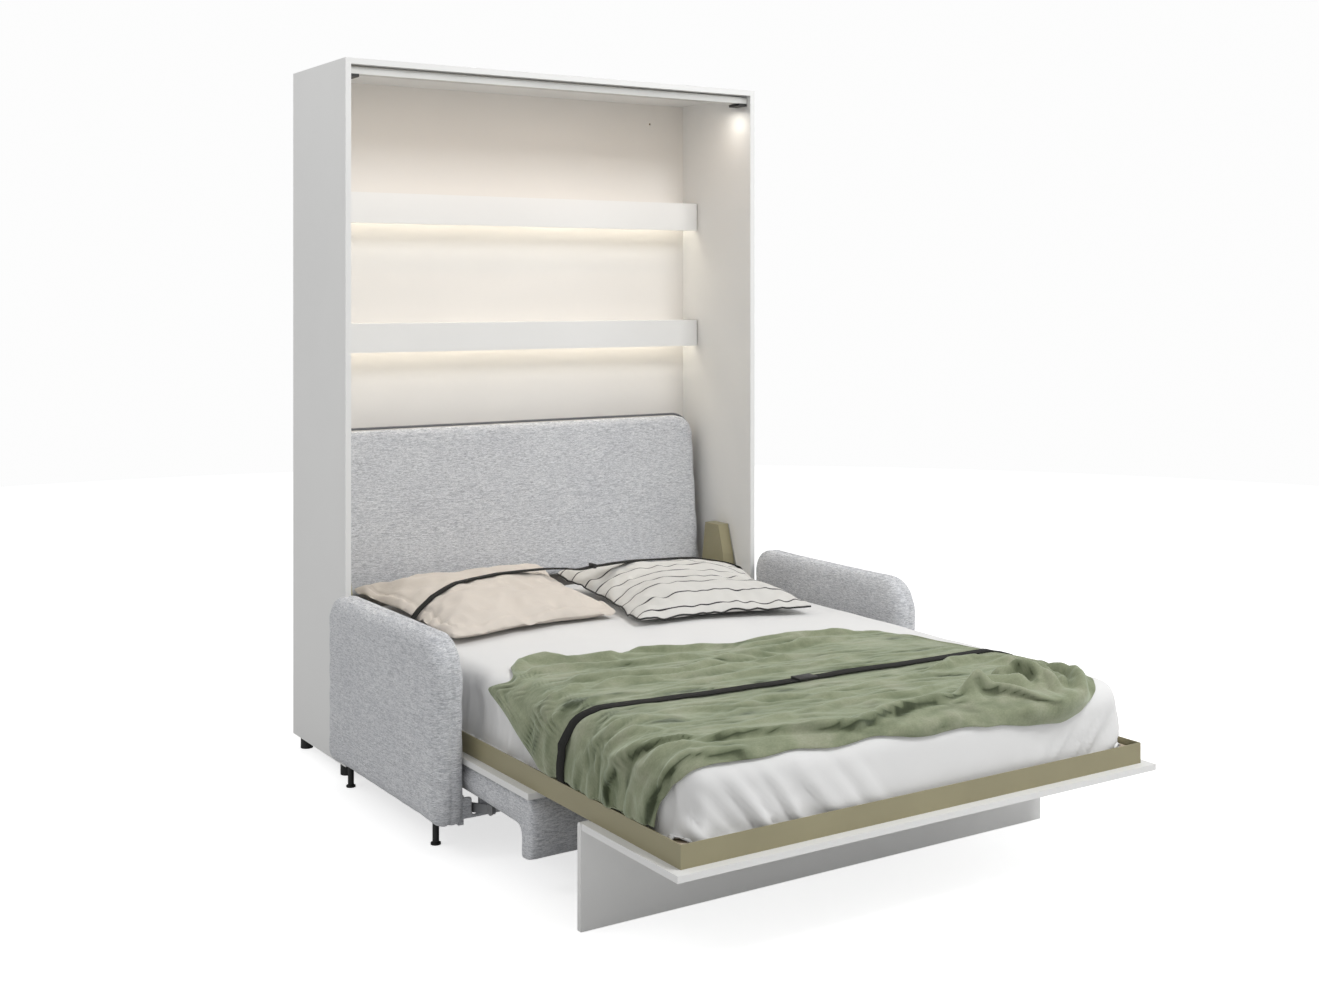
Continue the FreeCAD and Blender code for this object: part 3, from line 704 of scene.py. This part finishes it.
# a place on the cloth, laid over the rounded edges of the bed
def overMattress(u, v, lift):
    look = throwLook
    sideStart = look["side"] + look["sideBend"]
    footStart = look["foot"] + look["footBend"]
    a = max(0.0, sideStart - u)
    turn = min(a / look["sideBend"], math.pi / 2)
    x = u if a == 0 else sideStart - look["sideBend"] * math.sin(turn)
    down = look["sideBend"] * (1 - math.cos(turn)) + max(0.0, a - look["sideBend"] * math.pi / 2)
    b = max(0.0, footStart - v)
    tilt = min(b / look["footBend"], math.pi / 2)
    y = v if b == 0 else footStart - look["footBend"] * math.sin(tilt)
    down += look["footBend"] * (1 - math.cos(tilt)) * math.cos(turn)
    upward = math.cos(turn) * math.cos(tilt) + 1e-6
    out = Vector((-math.sin(turn), -math.sin(tilt) * math.cos(turn), upward)).normalized()
    return Vector((x, y, look["top"] - down)) + out * lift


def foldHeights(u, v):
    lift = np.zeros(len(u))
    slide = np.zeros(len(u))
    dark = np.zeros(len(u))
    for tall, wideHead, wideFoot, lean, line in throwLook["folds"]:
        line = np.array(line)
        order = 1 if line[-1, 0] > line[0, 0] else -1
        best = np.full(len(u), 9.0)
        side = np.zeros(len(u))
        along = np.zeros(len(u))
        lengths = np.linalg.norm(np.diff(line, axis=0), axis=1)
        total, done = lengths.sum(), 0.0
        for start, end, length in zip(line[:-1], line[1:], lengths):
            ahead = (end - start) / length
            k = np.clip((u - start[0]) * ahead[0] + (v - start[1]) * ahead[1], 0, length)
            away = np.stack([u - start[0] - ahead[0] * k, v - start[1] - ahead[1] * k], axis=1)
            far = np.linalg.norm(away, axis=1)
            near = far < best
            best = np.where(near, far, best)
            side = np.where(near, (ahead[0] * away[:, 1] - ahead[1] * away[:, 0]) * order, side)
            along = np.where(near, (done + k) / total, along)
            done += length
        width = np.where(side > 0, wideHead, wideFoot)
        fade = np.clip(np.minimum(along, 1 - along) / 0.16, 0, 1)
        fade = fade * fade * (3 - 2 * fade)
        shape = np.exp(-(best / width) ** 2) * (0.25 + 0.75 * fade)
        lift += tall * shape * (1.25 if tall < 0.03 else 1.0)
        slide += lean * shape
        if lean > 0:
            # painted shadow: a dark line along the foot of each overhanging fold, later darkened into the cloth
            # colour
            dark += np.exp(-((side + 0.7 * wideFoot) / 0.0055) ** 2) * (best < 0.02) * np.clip(fade * 1.5, 0, 1)
    return lift, slide, dark


def makeThrow():
    look = throwLook
    places = [row[0] for row in look["outline"]]
    width = places[-1] - places[0]
    bm = bmesh.new()
    bmesh.ops.create_grid(bm, x_segments=round(width / look["step"]), y_segments=round(0.95 / look["step"]), size=0.5)
    flat = pointsOf(bm)
    u = places[0] + (flat[:, 0] + 0.5) * width
    t = 0.5 - flat[:, 1]
    head = np.interp(u, places, [row[1] for row in look["outline"]])
    foot = np.interp(u, places, [row[2] for row in look["outline"]])
    wavy = np.array([noise.noise(Vector((a * 9, 3.3, 0))) for a in u]) * 0.012
    v = head + (foot - head) * t + wavy * np.abs(2 * t - 1)
    lift, slide, dark = foldHeights(u, v)
    soft = np.array([noise.noise(Vector((a * 6, b * 15, 2))) for a, b in zip(u, v)])
    fine, tiny = [], []
    for a, b, c in zip(u, v, soft):
        fine.append(0.3 - abs(noise.noise(Vector((a * 4.5 + 0.6 * b, b * 30 + 4 * a + 0.9 * c, 6)))))
        tiny.append(0.3 - abs(noise.noise(Vector((a * 10, b * 58 - 7 * a + 2 * c, 8)))))
    fine, tiny = np.array(fine), np.array(tiny)
    lift = lift + 0.007 * soft + 0.015 * fine + 0.006 * tiny + 0.004
    edge = np.clip(np.minimum(t, 1 - t) * (head - foot) / 0.03, 0, 1)
    lift = np.maximum(lift * (0.35 + 0.65 * edge), 0.0008)
    lift = np.where(u < -0.72, lift * 0.62, lift)
    start = [overMattress(a, front + b - c, d) for a, b, c, d in zip(u, v, slide, lift)]
    putPoints(bm, start)
    mesh = bpy.data.meshes.new("throwCloth")
    bm.to_mesh(mesh)
    bm.free()
    paintedFoldShade = mesh.attributes.new("foldShade", "FLOAT", "POINT")   # painted shade: hollows and the feet of overhanging folds are painted darker, ridges are painted lighter as a painted highlight
    paintedFoldShade.data.foreach_set("value", np.clip(0.5 + 1.3 * fine + 0.8 * tiny + (lift - 0.018) * 9 - dark, 0, 1))
    piece = bpy.data.objects.new("throwCloth", mesh)
    scene.collection.objects.link(piece)
    settleThrow(piece)
    return piece


# a short simulation lets the folds relax on the mattress
def settleThrow(piece):
    solid = mattress.modifiers.new("solid", "COLLISION")
    mattress.collision.thickness_outer = 0.002
    mattress.collision.cloth_friction = 60
    chosen(piece)
    cloth = piece.modifiers.new("cloth", "CLOTH")
    cloth.settings.quality = 5
    cloth.settings.mass = 0.25
    cloth.settings.tension_stiffness = 30
    cloth.settings.compression_stiffness = 30
    cloth.settings.shear_stiffness = 15
    cloth.settings.bending_stiffness = 6
    cloth.settings.air_damping = 5
    cloth.collision_settings.distance_min = 0.003
    frames = 5
    cloth.point_cache.frame_end = frames
    for number in range(1, frames + 1):
        scene.frame_set(number)
    bpy.ops.object.modifier_apply(modifier="cloth")
    mattress.modifiers.remove(solid)
    scene.frame_set(1)


throw = makeThrow()
points = pointsOf(throw.data)
points[:, 0] = np.maximum(points[:, 0], -0.738)               # clear of the frame's rail
points[:, 2] = np.maximum(points[:, 2], 0.310)
putPoints(throw.data, points)
print("throw spans", points.min(0).round(3), points.max(0).round(3))
shell = throw.modifiers.new("shell", "SOLIDIFY")
shell.thickness = throwLook["thick"]
shell.offset = 1
soft = throw.modifiers.new("soft", "SUBSURF")
soft.levels = 1
soft.render_levels = 1
chosen(throw)
bpy.ops.object.modifier_apply(modifier="shell")
bpy.ops.object.modifier_apply(modifier="soft")
dressPiece(throw, "bed", throwGreen, 80)
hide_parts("throw")
print("throw", round(time.time() - started, 1))


def webbingFinish():
    f = surfaceFinish("strapWebbing", (0.022, 0.022, 0.020), 0.75)
    place = f.nodes.new("ShaderNodeAttribute")
    place.attribute_name = "clothPlace"
    split = f.nodes.new("ShaderNodeSeparateXYZ")
    f.links.new(place.outputs["Vector"], split.inputs["Vector"])
    rib = f.math("PINGPONG", f.math("MULTIPLY", split.outputs["X"], 400.0), 0.5)
    f.color(f.ramp(rib, [(0.2, (0.014, 0.014, 0.013)), (0.6, (0.035, 0.035, 0.031))]))
    f.bump(rib, 0.4, 0.0006)
    f.shader.inputs["Specular IOR Level"].default_value = 0.2
    return f.material


strapWebbing = webbingFinish()


def treeOf(piece):
    bm = bmesh.new()
    bm.from_mesh(piece.data)
    tree = BVHTree.FromBMesh(bm)
    bm.free()
    return tree


def topOf(trees, x, y, base):
    best = base
    for tree in trees:
        found = tree.ray_cast(Vector((x, y, 1.0)), Vector((0, 0, -1)))
        if found[0] is not None:
            best = max(best, found[0].z)
    return best


def sideOf(trees, sign, y, z, base):
    best = base
    for tree in trees:
        for step in (-0.015, 0, 0.015):
            found = tree.ray_cast(Vector((sign * 0.9, y + step, z)), Vector((-sign, 0, 0)), 0.3)
            if found[0] is not None:
                best = max(best, abs(found[0].x) + 0.0025)
    return best


# a tight strap touches only the high places
def tautLine(xs, tops, ease):
    hull = []

    def sags(a, b, c):
        return (b[0] - a[0]) * (c[1] - a[1]) >= (b[1] - a[1]) * (c[0] - a[0])

    for p in zip(xs, tops):
        while len(hull) > 1 and sags(hull[-2], hull[-1], p):
            hull.pop()
        hull.append(p)
    tight = np.interp(xs, [h[0] for h in hull], [h[1] for h in hull])
    return tight - (tight - tops) * ease


def makeStrap(name, node, look, trees):
    xs = np.linspace(look["from"], look["to"], 130)
    ys = front + np.interp(xs, [p[0] for p in look["line"]], [p[1] for p in look["line"]])
    tops = np.array([max(topOf(trees, x, y + d, 0.3) for d in (-0.012, 0, 0.012)) for x, y in zip(xs, ys)])
    tops = tautLine(xs, tops, look["ease"])
    for turn in range(4):
        tops[1:-1] = np.maximum(tops[1:-1], (tops[:-2] + tops[2:]) / 2)
    path = [Vector((x, y, z + 0.002)) for x, y, z in zip(xs, ys, tops)]
    for end in (0, -1):
        edge = path[end]
        sign = math.copysign(1, edge.x)
        drop = []
        for z in np.linspace(edge.z - 0.026, look["hem"], 14):
            out = min(look["most"], sideOf(trees, sign, edge.y, z, look["side"]))
            drop.append(Vector((sign * out, edge.y, z)))
        path = list(reversed(drop)) + path if end == 0 else path + drop
    bm = bmesh.new()
    bmesh.ops.create_grid(bm, x_segments=len(path) - 1, y_segments=2, size=0.5)
    layer = bm.verts.layers.float_vector.new("clothPlace")
    travelled = np.concatenate([[0], np.cumsum([(b - a).length for a, b in zip(path, path[1:])])])
    for v in bm.verts:
        i = round((v.co.x + 0.5) * (len(path) - 1))
        side = v.co.y * look["width"]
        v[layer] = (travelled[i], side, 0)
        v.co = path[i] + Vector((0, side, 0))
    strap = newPiece(name, bm, "bed", strapWebbing, 60)
    chosen(strap)
    shell = strap.modifiers.new("shell", "SOLIDIFY")
    shell.thickness = 0.0024
    shell.offset = 0
    bpy.ops.object.modifier_apply(modifier="shell")
    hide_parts(node)
    return strap, path


def makeBuckle(name, path, x, look):
    middle = min(path, key=lambda p: abs(p.x - x))
    bm = bmesh.new()
    bmesh.ops.create_cube(bm, size=1.0)
    bmesh.ops.scale(bm, vec=look["size"], verts=bm.verts)
    bmesh.ops.bevel(bm, geom=bm.edges[:], offset=0.0015, offset_type="OFFSET", segments=2,
                    profile=0.5, affect="EDGES", material=-1)
    bmesh.ops.translate(bm, vec=middle + Vector((0, 0, 0.003)), verts=bm.verts)
    return newPiece(name, bm, "bed", blackPlastic, 40)


pillowStrap, pillowPath = makeStrap("strapOverPillows", "strap_head", {
    "from": -0.688, "to": 0.688, "side": 0.6985, "most": 0.699, "hem": 0.31, "width": 0.030, "ease": 0.12,
    "line": [(-0.70, -0.19), (-0.45, -0.10), (-0.1, -0.075), (0.15, -0.10), (0.62, -0.125), (0.70, -0.15)]},
    [treeOf(mattress), treeOf(pillowLeft), treeOf(pillowRight)])
_, footPath = makeStrap("strapOverThrow", "strap_foot", {
    "from": -0.700, "to": 0.690, "side": 0.7165, "most": 0.745, "hem": 0.300, "width": 0.034, "ease": 0.45,
    "line": [(-0.72, -1.225), (-0.66, -1.28), (-0.5, -1.305), (-0.1, -1.335), (0.37, -1.345), (0.70, -1.345)]},
    [treeOf(mattress), treeOf(throw)])
pillowBuckle = makeBuckle("buckleOverPillows", pillowPath, 0.045, {"size": (0.010, 0.036, 0.014)})
makeBuckle("buckleOverThrow", footPath, -0.05, {"size": (0.060, 0.040, 0.006)})
for piece in (pillowStrap, pillowBuckle):
    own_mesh(piece)
print("straps", round(time.time() - started, 1))


floorMesh = bpy.data.meshes.new("studioFloor")
bm = bmesh.new()
bmesh.ops.create_circle(bm, cap_ends=True, segments=96, radius=9)
bmesh.ops.translate(bm, vec=(0, 0, -0.0005), verts=bm.verts)
bm.to_mesh(floorMesh)
bm.free()
studioFloor = bpy.data.objects.new("studioFloor", floorMesh)
scene.collection.objects.link(studioFloor)
paleFloor = surfaceFinish("paleFloor", (0.72, 0.72, 0.72), 0.8)
paleFloor.rough(paleFloor.noise(3, 2), 0.75, 0.85)
paleFloor.shader.inputs["Emission Color"].default_value = (1, 1, 1, 1)
lit = paleFloor.nodes.new("ShaderNodeLightPath")
shine = paleFloor.math("MULTIPLY", lit.outputs["Is Camera Ray"], 0.68)
paleFloor.links.new(shine, paleFloor.shader.inputs["Emission Strength"])
floorMesh.materials.append(paleFloor.material)

world = bpy.data.worlds.new("studioWorld")
scene.world = world
world.use_nodes = True
backdrop = world.node_tree.nodes["Background"]
backdrop.inputs["Color"].default_value = (1.0, 1.0, 1.0, 1)
way = world.node_tree.nodes.new("ShaderNodeTexCoord")
part = world.node_tree.nodes.new("ShaderNodeSeparateXYZ")
slope = world.node_tree.nodes.new("ShaderNodeMapRange")      # a little less light from the left
slope.inputs["From Min"].default_value = -1
slope.inputs["To Min"].default_value = 0.56
slope.inputs["To Max"].default_value = 0.62
world.node_tree.links.new(way.outputs["Generated"], part.inputs["Vector"])
world.node_tree.links.new(part.outputs["X"], slope.inputs["Value"])
world.node_tree.links.new(slope.outputs[0], backdrop.inputs["Strength"])
behind = world.node_tree.nodes.new("ShaderNodeBackground")
behind.inputs["Strength"].default_value = 0.98
seen = world.node_tree.nodes.new("ShaderNodeLightPath")
either = world.node_tree.nodes.new("ShaderNodeMixShader")
world.node_tree.links.new(seen.outputs["Is Camera Ray"], either.inputs[0])
world.node_tree.links.new(backdrop.outputs[0], either.inputs[1])
world.node_tree.links.new(behind.outputs[0], either.inputs[2])
world.node_tree.links.new(either.outputs[0], world.node_tree.nodes["World Output"].inputs["Surface"])
behind.inputs["Color"].default_value = (1.0, 1.0, 1.0, 1)


def areaLight(name, place, target, size, power, color=(1, 1, 1), tall=None):
    data = bpy.data.lights.new(name, "AREA")
    data.shape = "RECTANGLE"
    data.size = size
    data.size_y = tall or size
    data.energy = power
    data.color = color
    lamp = bpy.data.objects.new(name, data)
    lamp.location = place
    lamp.rotation_euler = (Vector(target) - Vector(place)).to_track_quat("-Z", "Y").to_euler()
    scene.collection.objects.link(lamp)
    return lamp


areaLight("keyLight", (0.9, -2.7, 4.1), (0.1, 0.1, 1.0), 1.3, 92)
areaLight("leftLight", (-3.2, 0.7, 3.0), (-0.83, 0.9, 1.6), 1.0, 14)
areaLight("sideLight", (3.8, -2.2, 2.2), (0.0, 0.0, 0.6), 1.6, 18)
warm = (1.0, 0.955, 0.88)
for name in ("led_strip_upper", "led_strip_lower"):
    low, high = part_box(name)
    middle = (low + high) / 2
    areaLight("glow_" + name, (0, middle.y - 0.05, low.z - 0.004), (0, middle.y + 0.06, 1.0), 1.42, 0.30, warm, 0.03)
for side, x in (("left", -0.725), ("right", 0.725)):
    areaLight("cornerGlow_" + side, (x * 0.93, front + 0.06, 2.12), (x * 0.98, front + 0.16, 1.5), 0.05, 0.14, warm)
areaLight("nicheGlow", (0, front + 0.07, 2.12), (0, front + 0.30, 1.3), 1.3, 0.95, (1.0, 0.76, 0.54), 0.05)
